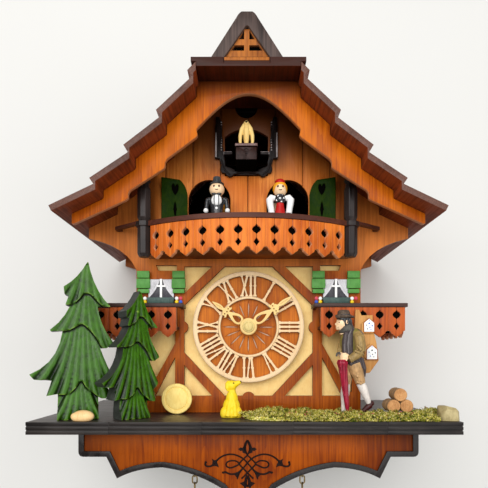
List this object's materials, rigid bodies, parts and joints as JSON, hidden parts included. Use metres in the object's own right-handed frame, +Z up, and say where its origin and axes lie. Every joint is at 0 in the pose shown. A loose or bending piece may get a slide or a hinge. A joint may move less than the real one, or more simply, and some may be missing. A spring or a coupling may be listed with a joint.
{
  "type": "wall clock",
  "caption": "Wall-hung chalet cuckoo clock with turning dancers on a balcony, a sliding cuckoo, a swinging pendulum and hanging cone weights.",
  "frame": {"origin": "on the wall face, on the rear face of the back board, straight behind the arbor of the dial hands", "axes": "+X to the right seen from the front, +Y into the wall, +Z up"},
  "size_m": [0.3627, 0.2262, 0.5351],
  "materials": {
    "roof_wood": "satin walnut stain, paler sawn edges",
    "orange_wood": "satin orange-brown stain",
    "dark_wood": "satin dark walnut stain",
    "apron_wood": "orange-brown stain with black moulding and carving",
    "stucco": "cream paint",
    "maple": "clear lacquer",
    "dial_wood": "orange-brown stain, engraved rays",
    "green_shutter": "dark green paint, speckled",
    "window_paint": "green leaves, white frames, teal flower box",
    "tree_green": "green paint with pale highlights",
    "straw": "pale straw",
    "stone_peach": "matt",
    "stone_beige": "matt",
    "dog_yellow": "yellow paint",
    "log_wood": "bare wood with bark",
    "grass": "fibrous green and straw flock",
    "peddler_paint": "hand-painted cast figure",
    "pack_wood": "plain plywood with two white house clocks",
    "dancer_man": "black coat and hat, white shirt",
    "dancer_woman": "red skirt, black bodice, white sleeves",
    "black_plastic": "moulded",
    "brass": "satin",
    "cone_brown": "bronze-brown paint",
    "battery_steel": "plain jacket"
  },
  "bodies": {
    "case": {"roof_left": "roof_wood", "roof_right": "roof_wood", "ridge_board": "roof_wood", "tower_roof": "roof_wood", "tower_front": "orange_wood", "back_board": "orange_wood", "rear_cover": "dark_wood", "case_side_left": "orange_wood", "case_side_right": "orange_wood", "stucco_front": "stucco", "timber_frame": "orange_wood", "gable_wall": "orange_wood", "bargeboard": "orange_wood", "platform": "dark_wood", "apron": "apron_wood", "balcony_fence": "orange_wood", "balcony_floor": "dark_wood", "balcony_rail": "dark_wood", "post_left": "dark_wood", "post_right": "dark_wood", "side_balcony_left": "dark_wood", "side_fence_left": "orange_wood", "side_balcony_right": "dark_wood", "side_fence_right": "orange_wood", "gable_shutter_left": "green_shutter", "window_left": "window_paint", "gable_shutter_right": "green_shutter", "window_right": "window_paint", "cuckoo_frame": "dark_wood", "carousel_motor": "black_plastic", "dial_plate": "dial_wood", "dial_ring": "maple", "quartz_movement": "black_plastic", "sound_module": "black_plastic", "battery": "battery_steel", "tree_left": "tree_green", "tree_right": "tree_green", "straw_disc": "straw", "stone_left": "stone_peach", "stone_right": "stone_beige", "dog": "dog_yellow", "log_pile": "log_wood", "peddler": "peddler_paint", "peddler_pack": "pack_wood", "grass": "grass"},
    "minute_body": {"minute_hand": "maple", "minute_arbor": "brass"},
    "hour_body": {"hour_hand": "maple"},
    "pendulum_body": {"pendulum": "dark_wood"},
    "cuckoo_body": {"cuckoo_perch": "dark_wood", "cuckoo_bird": "maple"},
    "carousel_body": {"carousel": "dark_wood", "dancer_man_front": "dancer_man", "dancer_woman_front": "dancer_woman", "dancer_man_rear": "dancer_man", "dancer_woman_rear": "dancer_woman"},
    "weight_left_body": {"chain_left": "brass", "cone_left": "cone_brown"},
    "weight_right_body": {"chain_right": "brass", "cone_right": "cone_brown"}
  },
  "joints": [
    {"name": "minute_turn", "type": "hinge", "parent": "case", "child": "minute_body", "pos_m": [0, -0.16, 0], "axis": [0, 1, 0], "continuous": true},
    {"name": "hour_turn", "type": "hinge", "parent": "case", "child": "hour_body", "pos_m": [0, -0.157, 0], "axis": [0, 1, 0], "continuous": true},
    {"name": "pendulum_swing", "type": "hinge", "parent": "case", "child": "pendulum_body", "pos_m": [0, -0.1184, -0.038], "axis": [0, 1, 0], "range_deg": [-6, 6]},
    {"name": "cuckoo_slide", "type": "slide", "parent": "case", "child": "cuckoo_body", "axis": [0, 1, 0], "range_m": [0, 0.04]},
    {"name": "carousel_turn", "type": "hinge", "parent": "case", "child": "carousel_body", "pos_m": [0, -0.134, 0.09], "axis": [0, 0, 1], "continuous": true},
    {"name": "chain_left_swing", "type": "hinge", "parent": "case", "child": "weight_left_body", "pos_m": [-0.0565, -0.108, -0.068], "axis": [0, 1, 0], "range_deg": [-2.5, 2.5]},
    {"name": "chain_right_swing", "type": "hinge", "parent": "case", "child": "weight_right_body", "pos_m": [0.0565, -0.108, -0.068], "axis": [0, 1, 0], "range_deg": [-2.5, 2.5]}
  ],
  "couplings": [
    {"joint": "hour_turn", "follows": "minute_turn", "ratio": 0.083333}
  ]
}
